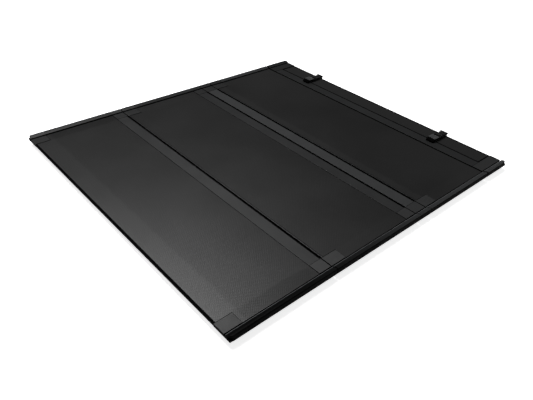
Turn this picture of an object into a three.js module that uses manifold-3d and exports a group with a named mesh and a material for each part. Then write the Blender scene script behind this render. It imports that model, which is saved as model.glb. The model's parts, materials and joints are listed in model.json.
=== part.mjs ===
// Hard tri-fold tonneau cover for a pickup bed: three framed boards hinged in two places, with a
// rigid header at the cab end. The fold nearer the cab is double, with a link rail between its two
// hinge lines, so that the tail panel fits inside the folded stack.
//
// Frame: millimetres, +Z up. X runs across the truck, Y along it, from the tailgate (-Y) to the cab
// (+Y). The origin is under the middle of the cover, on the plane that its seals rest on.

import * as THREE from "three";
import { mergeVertices } from "three/addons/utils/BufferGeometryUtils.js";
import Module from "manifold-3d";

const wasm = await Module();
wasm.setup();

// ---------------------------------------------------------------- driving dimensions

const HALF_WIDTH = 785;
const TAIL_END = -850;
const CAB_END = 850;

const FOLD_TAIL = -359; // the three hinge lines, as places along Y
const FOLD_MID = 152;
const FOLD_CAB = 223;
const SEAM = 679.5; // the fixed seam between the cab panel and the header

const GAP = 9; // between the two rails at a hinge line
const CAP_GAP = 3.4; // between the two end caps there
const SEAM_GAP = 8;
const FIT = 0.3; // clearance between pieces that touch

const FRAME_BOTTOM = 16; // the height of the seals under the frame
const DECK = 40; // the top of rails and boards
const CREST = 50; // the top of the raised lip along each side, at its outer edge
const WALL = 3;

const BOARD_THICK = 9.6;
const BOARD_TOP = DECK - 0.6;
const BOARD_BOTTOM = BOARD_TOP - BOARD_THICK;
const BOARD_HALF = 754;
const BOARD_GAP = 1.2; // the fine line between a board and its rail
const LEDGE_TOP = BOARD_BOTTOM - FIT;
const LEDGE_WIDE = 22;

const RAIL_HALF = 700; // rails run between the end caps
const WIDE_TOP = 57; // the width of a rail's top where it shows
const NARROW_TOP = 7;
const NARROW_BODY = 48;
const CORNER_LONG = 74; // the end caps beside a narrow rail
const CORNER_RADIUS = 22; // of the corners' top layer; below it they are square
const CORNER_LAYER = DECK - 5;
const SIDE_CHAMFER = 9; // along the bottom of the side faces
const LIP_BOTTOM = DECK - 13; // the thin lip along the tailgate edge
const LIP_DEEP = 14;

const TAIL_FACE = FOLD_TAIL - GAP / 2; // rail faces either side of each hinge line
const MID_FACE = FOLD_TAIL + GAP / 2;
const MID_CAB_FACE = FOLD_MID - GAP / 2;
const LINK_TAIL_FACE = FOLD_MID + GAP / 2;
const LINK_CAB_FACE = FOLD_CAB - GAP / 2;
const CAB_FACE = FOLD_CAB + GAP / 2;
const CAB_BOARD_END = SEAM - SEAM_GAP / 2;
const HEADER_FACE = SEAM + SEAM_GAP / 2;
const STRAP_THICK = 1.6;
const HEADER_END = CAB_END - STRAP_THICK - 0.4; // the straps pass over this edge

// ---------------------------------------------------------------- shape helpers

// An outline of [a, b] points, always counter-clockwise, so that its holes are cut the right way.
function outline(points) {
  const corners = points.map(([a, b]) => new THREE.Vector2(a, b));
  return new THREE.Shape(THREE.ShapeUtils.isClockWise(corners) ? corners.reverse() : corners);
}

// A closed outline, with any holes, each a list of [a, b] points.
function section(points, ...holes) {
  const shape = outline(points);
  for (const hole of holes) shape.holes.push(outline(hole));
  return shape;
}

const rectangle = (a0, b0, a1, b1) => [
  [a0, b0],
  [a1, b0],
  [a1, b1],
  [a0, b1],
];

// The shape lies in X and Y, and is extruded along Z.
function alongZ(shape, z0, z1) {
  const geometry = new THREE.ExtrudeGeometry(shape, { depth: z1 - z0, bevelEnabled: false });
  return geometry.translate(0, 0, z0);
}

// The shape lies in Y and Z, and is extruded along X.
function alongX(shape, x0, x1) {
  const turn = new THREE.Matrix4().makeBasis(
    new THREE.Vector3(0, 1, 0),
    new THREE.Vector3(0, 0, 1),
    new THREE.Vector3(1, 0, 0),
  );
  return alongZ(shape, Math.min(x0, x1), Math.max(x0, x1)).applyMatrix4(turn);
}

// The shape lies in X and Z, and is extruded along Y.
const alongY = (shape, y0, y1) =>
  alongZ(shape, -Math.max(y0, y1), -Math.min(y0, y1)).rotateX(Math.PI / 2);

const block = (x0, y0, z0, x1, y1, z1) =>
  new THREE.BoxGeometry(Math.abs(x1 - x0), Math.abs(y1 - y0), Math.abs(z1 - z0)).translate(
    (x0 + x1) / 2,
    (y0 + y1) / 2,
    (z0 + z1) / 2,
  );

const rodX = (radius, x0, x1, y, z, sides = 16) =>
  new THREE.CylinderGeometry(radius, radius, Math.abs(x1 - x0), sides)
    .rotateZ(Math.PI / 2)
    .translate((x0 + x1) / 2, y, z);

const rodY = (radius, y0, y1, x, z, sides = 16) =>
  new THREE.CylinderGeometry(radius, radius, Math.abs(y1 - y0), sides).translate(
    x,
    (y0 + y1) / 2,
    z,
  );

// A tube along a curve, with a regular section of that many sides.
function tube(curve, radius, steps, sides) {
  const corners = Array.from({ length: sides }, (_, i) => {
    const angle = (i / sides) * 2 * Math.PI;
    return [radius * Math.cos(angle), radius * Math.sin(angle)];
  });
  return new THREE.ExtrudeGeometry(section(corners), {
    steps,
    bevelEnabled: false,
    extrudePath: curve,
  });
}

function toSolid(geometry) {
  const bare = geometry.clone();
  bare.deleteAttribute("normal");
  bare.deleteAttribute("uv");
  const merged = mergeVertices(bare, 1e-4);
  return new wasm.Manifold(
    new wasm.Mesh({
      numProp: 3,
      vertProperties: new Float32Array(merged.attributes.position.array),
      triVerts: new Uint32Array(merged.index.array),
    }),
  );
}

function toGeometry(solid) {
  const mesh = solid.getMesh();
  const geometry = new THREE.BufferGeometry();
  geometry.setAttribute("position", new THREE.BufferAttribute(mesh.vertProperties, 3));
  geometry.setIndex(new THREE.BufferAttribute(mesh.triVerts, 1));
  return geometry;
}

const joined = (...pieces) => toGeometry(pieces.map(toSolid).reduce((a, b) => a.add(b)));

const cut = (piece, ...tools) =>
  toGeometry(tools.map(toSolid).reduce((a, b) => a.subtract(b), toSolid(piece)));

// A bar of the outer section with the inner section cut through its whole length.
const hollowBar = (along, outer, inner, start, end) =>
  cut(along(section(outer), start, end), along(section(inner), start - 1, end + 1));

const common = (a, b) => toGeometry(toSolid(a).intersect(toSolid(b)));

// ---------------------------------------------------------------- finishes

const finish = (name, color, roughness, metalness) =>
  new THREE.MeshStandardMaterial({ name, color, roughness, metalness });

const POWDER_COAT = finish("powder_coat", 0x2b2c2e, 0.45, 0.3);
const BOARD_SKIN = finish("board_skin", 0x242527, 0.6, 0);
const PAD_SKIN = finish("pad_skin", 0x1d1e20, 0.8, 0);
const CAP_PLASTIC = finish("cap_plastic", 0x303134, 0.5, 0);
const SEAL_RUBBER = finish("seal_rubber", 0x0c0c0d, 0.85, 0);
const BUCKLE_PLASTIC = finish("buckle_plastic", 0x1a1a1c, 0.4, 0);
const WEBBING = finish("webbing", 0x111112, 0.95, 0);
const ZINC_STEEL = finish("zinc_steel", 0xa9acb0, 0.35, 1);
const KNOB_PLASTIC = finish("knob_plastic", 0x161617, 0.5, 0);

const cover = new THREE.Group();
cover.name = "tonneau_cover";

function add(name, geometry, material) {
  const mesh = new THREE.Mesh(geometry, material);
  mesh.name = name;
  cover.add(mesh);
}

const SIDES = [
  ["left", -1],
  ["right", 1],
];

// ---------------------------------------------------------------- boards

// A board from the narrow rail at y0 to y1, with its first two corners cut away for end caps.
function board(y0, y1) {
  const start = y0 + NARROW_TOP + BOARD_GAP;
  const notchEnd = y0 + CORNER_LONG + BOARD_GAP;
  const notch = RAIL_HALF - BOARD_GAP;
  const right = [
    [notch, start],
    [notch, notchEnd],
    [BOARD_HALF, notchEnd],
    [BOARD_HALF, y1],
  ];
  const left = right.map(([x, y]) => [-x, y]).reverse();
  return alongZ(section([...right, ...left]), BOARD_BOTTOM, BOARD_TOP);
}

function addBoards() {
  const wide = WIDE_TOP + BOARD_GAP;
  add("tail_board", board(TAIL_END, TAIL_FACE - wide), BOARD_SKIN);
  add("mid_board", board(MID_FACE, MID_CAB_FACE - wide), BOARD_SKIN);
  add("cab_board", board(CAB_FACE, CAB_BOARD_END), BOARD_SKIN);
}

// ---------------------------------------------------------------- rails across the truck

// A hollow rail with a wide visible top and a ledge that carries a board. Its outer face is at
// face, and inward is +1 or -1 along Y.
function wideRail(face, inward) {
  const at = (s, z) => [face + inward * s, z];
  const top = WIDE_TOP;
  return [
    [
      at(2, FRAME_BOTTOM),
      at(top, FRAME_BOTTOM),
      at(top, LEDGE_TOP - WALL),
      at(top + LEDGE_WIDE, LEDGE_TOP - WALL),
      at(top + LEDGE_WIDE, LEDGE_TOP),
      at(top, LEDGE_TOP),
      at(top, DECK - 0.5),
      at(top - 0.5, DECK),
      at(1.5, DECK),
      at(0, DECK - 1.5),
      at(0, FRAME_BOTTOM + 2),
    ],
    [
      at(WALL, FRAME_BOTTOM + WALL),
      at(top - WALL, FRAME_BOTTOM + WALL),
      at(top - WALL, DECK - WALL),
      at(WALL, DECK - WALL),
    ],
  ];
}

// A hollow rail that lies mostly under its board and shows only a narrow lip.
function narrowRail(face, inward) {
  const at = (s, z) => [face + inward * s, z];
  return [
    [
      at(2, FRAME_BOTTOM),
      at(NARROW_BODY, FRAME_BOTTOM),
      at(NARROW_BODY, LEDGE_TOP),
      at(NARROW_TOP, LEDGE_TOP),
      at(NARROW_TOP, DECK - 0.5),
      at(NARROW_TOP - 0.5, DECK),
      at(1.5, DECK),
      at(0, DECK - 1.5),
      at(0, FRAME_BOTTOM + 2),
    ],
    [
      at(WALL, FRAME_BOTTOM + WALL),
      at(NARROW_BODY - WALL, FRAME_BOTTOM + WALL),
      at(NARROW_BODY - WALL, LEDGE_TOP - WALL),
      at(WALL, LEDGE_TOP - WALL),
    ],
  ];
}

// The narrow rail at the tailgate edge, with its tube set back under a thin lip.
function tailRail(face) {
  const tube = face + LIP_DEEP;
  const inner = face + NARROW_BODY;
  return [
    [
      [face + 2, LIP_BOTTOM],
      [tube, LIP_BOTTOM],
      [tube, FRAME_BOTTOM],
      [inner, FRAME_BOTTOM],
      [inner, LEDGE_TOP],
      [face + NARROW_TOP, LEDGE_TOP],
      [face + NARROW_TOP, DECK - 0.5],
      [face + NARROW_TOP - 0.5, DECK],
      [face + 1.5, DECK],
      [face, DECK - 1.5],
      [face, LIP_BOTTOM + 2],
    ],
    rectangle(tube + WALL, FRAME_BOTTOM + WALL, inner - WALL, LEDGE_TOP - WALL),
  ];
}

function linkRail() {
  const bottom = FRAME_BOTTOM + WALL;
  return [
    [
      [LINK_TAIL_FACE + 2, FRAME_BOTTOM],
      [LINK_CAB_FACE - 2, FRAME_BOTTOM],
      [LINK_CAB_FACE, FRAME_BOTTOM + 2],
      [LINK_CAB_FACE, DECK - 1.5],
      [LINK_CAB_FACE - 1.5, DECK],
      [LINK_TAIL_FACE + 1.5, DECK],
      [LINK_TAIL_FACE, DECK - 1.5],
      [LINK_TAIL_FACE, FRAME_BOTTOM + 2],
    ],
    rectangle(LINK_TAIL_FACE + WALL, bottom, LINK_CAB_FACE - WALL, DECK - WALL),
  ];
}

const PAD_START = HEADER_FACE + WIDE_TOP + 2;
const PAD_FLOOR = DECK - 5;
const PAD_LIP = 7;
const GROOVE_FLOOR = DECK - 5.5; // the bottom of the grooves beside the boards

// The header: a wide rail, then a recess for the pad, then the front lip, with two hollows. Its
// ledge carries the end of the cab board and closes the seam from below.
function headerRail(end) {
  const lip = HEADER_END - PAD_LIP;
  const recess = HEADER_FACE + WIDE_TOP;
  const outer = section([
    [HEADER_FACE, FRAME_BOTTOM],
    [HEADER_END - 2, FRAME_BOTTOM],
    [HEADER_END, FRAME_BOTTOM + 2],
    [HEADER_END, DECK - 2.5],
    [HEADER_END - 2.5, DECK],
    [lip, DECK],
    [lip, PAD_FLOOR],
    [recess, PAD_FLOOR],
    [recess, DECK],
    [HEADER_FACE + 1, DECK],
    [HEADER_FACE, DECK - 1],
    [HEADER_FACE, GROOVE_FLOOR],
    [CAB_BOARD_END + 1, GROOVE_FLOOR],
    [CAB_BOARD_END + 1, LEDGE_TOP],
    [HEADER_FACE - LEDGE_WIDE, LEDGE_TOP],
    [HEADER_FACE - LEDGE_WIDE, LEDGE_TOP - WALL],
    [HEADER_FACE, LEDGE_TOP - WALL],
  ]);
  const low = FRAME_BOTTOM + WALL;
  const past = end + 1;
  return cut(
    alongX(outer, -end, end),
    block(-past, HEADER_FACE + WALL, low, past, recess - WALL, DECK - WALL),
    block(-past, recess + WALL, low, past, HEADER_END - WALL, PAD_FLOOR - WALL),
  );
}

function addCrossRails() {
  const end = RAIL_HALF - FIT;
  const rails = {
    tail_rear_rail: tailRail(TAIL_END),
    tail_hinge_rail: wideRail(TAIL_FACE, -1),
    mid_tail_rail: narrowRail(MID_FACE, 1),
    mid_cab_rail: wideRail(MID_CAB_FACE, -1),
    link_rail: linkRail(),
    cab_hinge_rail: narrowRail(CAB_FACE, 1),
  };
  for (const [name, [outer, inner]] of Object.entries(rails)) {
    add(name, hollowBar(alongX, outer, inner, -end, end), POWDER_COAT);
  }
  add("header_rail", headerRail(end), POWDER_COAT);
  const pad = rectangle(PAD_START, PAD_FLOOR + FIT, HEADER_END - PAD_LIP - 2, DECK - 1);
  add("header_pad", alongX(section(pad), -end, end), PAD_SKIN);
}

// ---------------------------------------------------------------- side rails and end caps

const GROOVE_OUT = 759.5; // the groove beside the board ends here and the side lip begins
const SIDE_BACK = 757; // the inner face of a side rail below the board

// The outer profile that side rails and caps share, from the bottom up and in to the groove.
const sideLip = (side) => [
  [side * (HALF_WIDTH - SIDE_CHAMFER), FRAME_BOTTOM],
  [side * HALF_WIDTH, FRAME_BOTTOM + SIDE_CHAMFER],
  [side * HALF_WIDTH, CREST - 3],
  [side * (HALF_WIDTH - 1), CREST - 1],
  [side * (HALF_WIDTH - 3.5), CREST],
  [side * (HALF_WIDTH - 9), CREST - 0.4],
  [side * (HALF_WIDTH - 17), CREST - 3],
  [side * (GROOVE_OUT + 1.5), CREST - 6],
  [side * GROOVE_OUT, CREST - 7.5],
  [side * GROOVE_OUT, GROOVE_FLOOR],
];

function sideRail(side) {
  const groove = side * (BOARD_HALF + BOARD_GAP);
  const ledge = side * (SIDE_BACK - LEDGE_WIDE);
  return [
    [
      ...sideLip(side),
      [groove, GROOVE_FLOOR],
      [groove, LEDGE_TOP],
      [ledge, LEDGE_TOP],
      [ledge, LEDGE_TOP - WALL],
      [side * SIDE_BACK, LEDGE_TOP - WALL],
      [side * SIDE_BACK, FRAME_BOTTOM],
    ],
    [
      [side * (SIDE_BACK + WALL), FRAME_BOTTOM + WALL],
      [side * (HALF_WIDTH - WALL - SIDE_CHAMFER + 2), FRAME_BOTTOM + WALL],
      [side * (HALF_WIDTH - WALL), FRAME_BOTTOM + SIDE_CHAMFER + 1],
      [side * (HALF_WIDTH - WALL), CREST - WALL - 2],
      [side * (GROOVE_OUT + WALL), CREST - WALL - 7],
      [side * (GROOVE_OUT + WALL), GROOVE_FLOOR - WALL],
      [side * (SIDE_BACK + WALL), GROOVE_FLOOR - WALL],
    ],
  ];
}

const CAP_TOP = DECK + 0.8;
const CAP_PATCH = 754; // where the cap's flat top ends at the groove

const capProfile = (side) =>
  section([
    ...sideLip(side),
    [side * CAP_PATCH, GROOVE_FLOOR],
    [side * CAP_PATCH, CAP_TOP - 1],
    [side * (CAP_PATCH - 1), CAP_TOP],
    [side * (RAIL_HALF + 1), CAP_TOP],
    [side * RAIL_HALF, CAP_TOP - 1],
    [side * RAIL_HALF, FRAME_BOTTOM],
  ]);

const CAP_POCKET_TOP = 30;
const CAP_POCKET_WALL = 4;

// A moulded end cap, hollow from below. With corner 1 at y1, or -1 at y0, it makes a corner of the
// cover.
function endCap(side, y0, y1, corner = 0) {
  const w = CAP_POCKET_WALL;
  const inner = side * (RAIL_HALF + w);
  const outer = side * (HALF_WIDTH - w - SIDE_CHAMFER);
  const pocketEnd = corner === 1 ? y1 - CORNER_RADIUS : y1 - w;
  const pocketStart = corner === -1 ? y0 + CORNER_RADIUS : y0 + w;
  const pocket = block(inner, pocketStart, FRAME_BOTTOM - 1, outer, pocketEnd, CAP_POCKET_TOP);
  const cap = cut(alongY(capProfile(side), y0, y1), pocket);
  return corner === 0 ? cap : cut(cap, cornerTrim(side, corner === 1 ? y1 : y0, corner));
}

// What the top layer's rounded corner leaves over, to cut away.
function cornerTrim(side, end, corner) {
  const r = CORNER_RADIUS;
  const steps = 8;
  const arc = Array.from({ length: steps + 1 }, (_, i) => {
    const angle = (i / steps) * (Math.PI / 2);
    const x = HALF_WIDTH - r + r * Math.cos(angle);
    return [side * x, end - corner * r * (1 - Math.sin(angle))];
  });
  const past = end + corner;
  const wide = side * (HALF_WIDTH + 1);
  const points = [[wide, arc[0][1]], ...arc, [arc[steps][0], past], [wide, past]];
  return alongZ(section(points), CORNER_LAYER, CREST + 1);
}

// What is cut from a tailgate corner below its lip.
const underLip = (side) =>
  block(
    side * (RAIL_HALF - 1), TAIL_END - 1, 0, side * (HALF_WIDTH + 1), TAIL_END + LIP_DEEP, LIP_BOTTOM,
  );

const CAP_INSET = (GAP - CAP_GAP) / 2; // caps reach this much further into a hinge gap than rails

function addSides() {
  const tailCorner = TAIL_END + CORNER_LONG;
  const midCorner = MID_FACE + CORNER_LONG;
  const cabCorner = CAB_FACE + CORNER_LONG;
  const tailRail = TAIL_FACE - WIDE_TOP;
  const midRail = MID_CAB_FACE - WIDE_TOP;
  for (const [hand, side] of SIDES) {
    const railRuns = {
      tail: [tailCorner, tailRail],
      mid: [midCorner, midRail],
      cab: [cabCorner, CAB_BOARD_END],
    };
    for (const [panel, [y0, y1]] of Object.entries(railRuns)) {
      const [outer, inner] = sideRail(side);
      const rail = hollowBar(alongY, outer, inner, y0 + FIT, y1 - FIT);
      add(`${panel}_side_rail_${hand}`, rail, POWDER_COAT);
    }
    const capRuns = {
      tail_corner: [TAIL_END, tailCorner, -1],
      tail_hinge: [tailRail, TAIL_FACE + CAP_INSET],
      mid_tail: [MID_FACE - CAP_INSET, midCorner],
      mid_cab: [midRail, MID_CAB_FACE + CAP_INSET],
      link: [LINK_TAIL_FACE - CAP_INSET, LINK_CAB_FACE + CAP_INSET],
      cab_hinge: [CAB_FACE - CAP_INSET, cabCorner],
      header: [HEADER_FACE, HEADER_END, 1],
    };
    for (const [place, [y0, y1, corner]] of Object.entries(capRuns)) {
      const cap = endCap(side, y0, y1, corner);
      add(`${place}_cap_${hand}`, corner === -1 ? cut(cap, underLip(side)) : cap, CAP_PLASTIC);
    }
  }
}

// ---------------------------------------------------------------- seals and hinge strips

const SEAL_OUT = 757; // the outer side of the seals under the side rails
const SEAL_WIDE = 13;
const SEAL_TOP = FRAME_BOTTOM - FIT;

// A U-shaped seal: along both sides from open, and round the corners along the end of the cover.
function cornerSeal(open, end) {
  const inward = Math.sign(open - end);
  const arch = (half, y) => {
    const r = CORNER_RADIUS;
    const steps = 5;
    const arc = Array.from({ length: steps + 1 }, (_, i) => {
      const angle = (i / steps) * (Math.PI / 2);
      return [half - r + r * Math.cos(angle), y + inward * (r - r * Math.sin(angle))];
    });
    return [[half, open], ...arc];
  };
  const both = (points) => [...points, ...points.map(([x, y]) => [-x, y]).reverse()];
  const outer = both(arch(SEAL_OUT, end));
  const inner = both(arch(SEAL_OUT - SEAL_WIDE, end + inward * SEAL_WIDE)).reverse();
  return alongZ(section([...outer, ...inner]), 0, SEAL_TOP);
}

function addSeals() {
  const tailEnd = TAIL_END + 2 * LIP_DEEP;
  const cabEnd = HEADER_END - 15;
  add("tail_seal", cornerSeal(TAIL_FACE, tailEnd), SEAL_RUBBER);
  add("cab_seal", cornerSeal(CAB_FACE, cabEnd), SEAL_RUBBER);
  for (const [hand, side] of SIDES) {
    const inner = side * (SEAL_OUT - SEAL_WIDE);
    const strip = block(inner, MID_FACE, 0, side * SEAL_OUT, MID_CAB_FACE, SEAL_TOP);
    add(`mid_seal_${hand}`, strip, SEAL_RUBBER);
  }
}

const STRIP_BOTTOM = 27;
const STRIP_TOP = 33;

// The rubber strip in a hinge gap, with a groove along its middle where it bends.
function hingeStrip(fold) {
  const half = GAP / 2 - FIT;
  const strip = section([
    [fold - half, STRIP_BOTTOM],
    [fold + half, STRIP_BOTTOM],
    [fold + half, STRIP_TOP],
    [fold + 1.5, STRIP_TOP],
    [fold, STRIP_TOP - 2],
    [fold - 1.5, STRIP_TOP],
    [fold - half, STRIP_TOP],
  ]);
  return alongX(strip, -RAIL_HALF + FIT, RAIL_HALF - FIT);
}

function addHingeStrips() {
  add("hinge_strip_tail", hingeStrip(FOLD_TAIL), SEAL_RUBBER);
  add("hinge_strip_mid", hingeStrip(FOLD_MID), SEAL_RUBBER);
  add("hinge_strip_cab", hingeStrip(FOLD_CAB), SEAL_RUBBER);
}

// ---------------------------------------------------------------- stowage straps and buckles

const STRAP_PLACES = { left: -467, right: 433 };
const STRAP_HALF = 19;
const STRAP_ANCHOR = HEADER_END - 11; // its fastened end, under the header's front edge
const STRAP_STOP = 815; // where it meets the buckle on top

const BUCKLE_HALF = 22;
const SOCKET_START = 716;
const SOCKET_END = 774;
const BUCKLE_LOW = DECK + 1.2;
const SOCKET_TOP = BUCKLE_LOW + 17;
const CHANNEL_LOW = BUCKLE_LOW + 3.5;
const CHANNEL_HIGH = CHANNEL_LOW + 9;
const CHANNEL_HALF = 17;
const CHANNEL_START = SOCKET_START + 14;
const FORK_END = 818;
const WEBBING_SLOT = 3.6;

// Webbing from under the header, round its front edge and back over the top.
function strap(x) {
  const t = STRAP_THICK;
  const under = FRAME_BOTTOM - FIT - t;
  const over = DECK + 0.4;
  const front = HEADER_END + 0.4;
  const path = section([
    [STRAP_ANCHOR, under],
    [front + t - 1, under],
    [front + t, under + 1],
    [front + t, over + t - 1],
    [front + t - 1, over + t],
    [STRAP_STOP, over + t],
    [STRAP_STOP, over],
    [front, over],
    [front, under + t],
    [STRAP_ANCHOR, under + t],
  ]);
  return alongX(path, x - STRAP_HALF, x + STRAP_HALF);
}

// The female half: a tapered body with a channel open to the cab and a window in each side.
function buckleSocket(x) {
  const w = BUCKLE_HALF;
  const body = section([
    [x - w + 5, SOCKET_START],
    [x + w - 5, SOCKET_START],
    [x + w, SOCKET_START + 12],
    [x + w, SOCKET_END],
    [x - w, SOCKET_END],
    [x - w, SOCKET_START + 12],
  ]);
  const crown = section([
    [SOCKET_START, BUCKLE_LOW],
    [SOCKET_END, BUCKLE_LOW],
    [SOCKET_END, SOCKET_TOP - 2],
    [SOCKET_END - 3, SOCKET_TOP],
    [SOCKET_START + 16, SOCKET_TOP],
    [SOCKET_START, SOCKET_TOP - 9],
  ]);
  const shell = common(alongZ(body, BUCKLE_LOW, SOCKET_TOP), alongX(crown, x - w, x + w));
  const c = CHANNEL_HALF;
  const channel = block(
    x - c, CHANNEL_START, CHANNEL_LOW, x + c, SOCKET_END + 1, CHANNEL_HIGH,
  );
  const windows = block(
    x - w - 1, CHANNEL_START + 10, CHANNEL_LOW, x + w + 1, CHANNEL_START + 26, CHANNEL_HIGH,
  );
  return cut(shell, channel, windows);
}

// The male half: three prongs in the channel, and a frame with two slots that the strap is
// threaded through.
function buckleFork(x) {
  const frameStart = SOCKET_END + FIT;
  const w = BUCKLE_HALF;
  const slot = (y) => rectangle(x - w + 3, y, x + w - 3, y + WEBBING_SLOT);
  const plate = section(
    rectangle(x - w, frameStart, x + w, FORK_END),
    slot(frameStart + 18),
    slot(FORK_END - 8),
  );
  const low = CHANNEL_LOW + FIT;
  const high = CHANNEL_HIGH - FIT;
  const c = CHANNEL_HALF - FIT;
  const tip = CHANNEL_START + 4;
  const prong = (x0, x1) => block(x0, tip, low + 1, x1, frameStart + 2, high - 1);
  return joined(
    alongZ(plate, low, high),
    prong(x - c, x - c + 6),
    prong(x + c - 6, x + c),
    prong(x - 3, x + 3),
  );
}

function addStowage() {
  for (const [hand, x] of Object.entries(STRAP_PLACES)) {
    add(`stow_strap_${hand}`, strap(x), WEBBING);
    add(`buckle_socket_${hand}`, buckleSocket(x), BUCKLE_PLASTIC);
    add(`buckle_fork_${hand}`, buckleFork(x), BUCKLE_PLASTIC);
  }
}

// ---------------------------------------------------------------- bed-rail clamps

const CLAMP_X = 666;
const PIVOT_Y = 660;
const CLAMP_Z = 13; // the pivot and the screw, with the arm folded up
const PIN_RADIUS = 2.5;
const EYE_RADIUS = 7;
const SCREW_RADIUS = 4;
const RUNNING_CLEAR = 0.4; // between a pin, screw or bolt and what it moves in
const ARM_HALF = 10;
const ARM_TOP = CLAMP_Z + 10;
const ARM_TAB = 4; // the two bent tabs that carry the screw
const ARM_END = PIVOT_Y - 110;
const TAB_END = PIVOT_Y - 12;
const SCREW_START = PIVOT_Y - 14;
const SCREW_END = ARM_END - 26;
const JAW_START = PIVOT_Y - 94;
const JAW_END = JAW_START + 18;
const JAW_REACH = 46;
const JAW_PLATE = 5;
const KNOB_RADIUS = 10.4;
const KNOB_LONG = 22;

// Bolted under the header, with two ears and the pin that the arm swings on.
function clampBracket(x) {
  const plateTop = FRAME_BOTTOM - FIT;
  const plateStart = PIVOT_Y + 30;
  const plateHalf = 21;
  const ear = section([
    [PIVOT_Y - 8, CLAMP_Z - 7],
    [PIVOT_Y + 10, CLAMP_Z - 8],
    [plateStart + 6, plateTop - WALL],
    [plateStart + 10, plateTop],
    [HEADER_FACE - LEDGE_WIDE - 1, plateTop],
    [PIVOT_Y - 1, CLAMP_Z + 8],
    [PIVOT_Y - 8, CLAMP_Z + 8],
  ]);
  const earIn = ARM_HALF + 2;
  const earOut = earIn + WALL;
  const pinEnd = earOut + 1;
  return joined(
    block(x - plateHalf, plateStart, plateTop - WALL, x + plateHalf, plateStart + 44, plateTop),
    alongX(ear, x - earOut, x - earIn),
    alongX(ear, x + earIn, x + earOut),
    rodX(PIN_RADIUS, x - pinEnd, x + pinEnd, PIVOT_Y, CLAMP_Z),
  );
}

// A bar with an eye at the pivot and a tab at each end that carries the screw.
function clampArm(x) {
  const low = CLAMP_Z - 7;
  const left = x - ARM_HALF;
  const right = x + ARM_HALF;
  const root = PIVOT_Y + 3;
  const arm = joined(
    rodX(EYE_RADIUS, left, right, PIVOT_Y, CLAMP_Z, 20),
    block(left, ARM_END, ARM_TOP - WALL, right, root, ARM_TOP),
    block(left, TAB_END, CLAMP_Z, right, root, ARM_TOP),
    block(left, TAB_END - ARM_TAB, low, right, TAB_END, ARM_TOP),
    block(left, ARM_END, low, right, ARM_END + ARM_TAB, ARM_TOP),
  );
  const pinBore = rodX(PIN_RADIUS + RUNNING_CLEAR, left - 1, right + 1, PIVOT_Y, CLAMP_Z);
  const boreEnd = TAB_END + 1;
  const screwBore = rodY(SCREW_RADIUS + RUNNING_CLEAR, ARM_END - 1, boreEnd, x, CLAMP_Z);
  return cut(arm, pinBore, screwBore);
}

// The outline of the hand knob: round, with a hollow for each finger.
function knobShape() {
  const lobes = 6;
  const steps = 36;
  const depth = 1.4;
  return section(
    Array.from({ length: steps }, (_, i) => {
      const angle = (i / steps) * 2 * Math.PI;
      const r = KNOB_RADIUS - (depth / 2) * (1 - Math.cos(lobes * angle));
      return [r * Math.cos(angle), r * Math.sin(angle)];
    }),
  );
}

function clampScrew(x) {
  const knob = alongY(knobShape(), SCREW_END, SCREW_END + KNOB_LONG).translate(x, 0, CLAMP_Z);
  return joined(rodY(SCREW_RADIUS, SCREW_END + 2, SCREW_START, x, CLAMP_Z), knob);
}

// The nut block on the screw, with the plate and pad that press up under the bed rail's flange.
function clampJaw(x, side) {
  const w = ARM_HALF - 0.5;
  const low = CLAMP_Z - 8;
  const high = ARM_TOP - WALL - FIT;
  const reach = x + side * JAW_REACH;
  const padIn = x + side * (ARM_HALF + 6);
  const jaw = joined(
    block(x - w, JAW_START, low, x + w, JAW_END, high),
    block(x, JAW_END - JAW_PLATE, low, reach, JAW_END, high),
    block(padIn, JAW_END - 1, low + 1, reach - side, JAW_END + 3, high - 1),
  );
  return cut(jaw, rodY(SCREW_RADIUS + RUNNING_CLEAR, JAW_START - 1, JAW_END + 1, x, CLAMP_Z));
}

function addClamps() {
  for (const [hand, side] of SIDES) {
    const x = side * CLAMP_X;
    add(`clamp_bracket_${hand}`, clampBracket(x), ZINC_STEEL);
    add(`clamp_arm_${hand}`, clampArm(x), ZINC_STEEL);
    add(`clamp_screw_${hand}`, clampScrew(x), KNOB_PLASTIC);
    add(`clamp_jaw_${hand}`, clampJaw(x, side), ZINC_STEEL);
  }
}

// ---------------------------------------------------------------- tailgate latches

const LATCH_Y = -745;
const LATCH_Z = 15; // the bolts and the cable
const LATCH_IN = 636;
const LATCH_OUT = 702;
const LATCH_HALF = 17;
const LATCH_LOW = 4;
const BOLT_HALF = 7;
const BOLT_START = 670;
const BOLT_NOSE = 727;
const SPRING_START = 641;
const WIRE_RADIUS = 1.2;
const SHEATH_RADIUS = 3;

// A block under the tail board with a channel for the bolt, and a flange with rivet lands.
function latchHousing(side) {
  const top = BOARD_BOTTOM - FIT;
  const c = BOLT_HALF + RUNNING_CLEAR;
  const y0 = LATCH_Y - LATCH_HALF;
  const y1 = LATCH_Y + LATCH_HALF;
  const body = section([
    [y0, LATCH_LOW + 3],
    [y0 + 3, LATCH_LOW],
    [y1 - 3, LATCH_LOW],
    [y1, LATCH_LOW + 3],
    [y1, top],
    [y0, top],
  ]);
  const flangeHalf = 12;
  const flangeIn = side * (LATCH_IN - 12);
  const inner = side * LATCH_IN;
  const mouth = side * (LATCH_OUT + 1);
  return cut(
    joined(
      alongX(body, inner, side * LATCH_OUT),
      block(flangeIn, LATCH_Y - flangeHalf, top - WALL, inner + side, LATCH_Y + flangeHalf, top),
    ),
    block(inner + side * 4, LATCH_Y - c, LATCH_Z - c, mouth, LATCH_Y + c, LATCH_Z + c),
    rodX(2 * WIRE_RADIUS, inner - side, inner + side * 5, LATCH_Y, LATCH_Z),
  );
}

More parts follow.
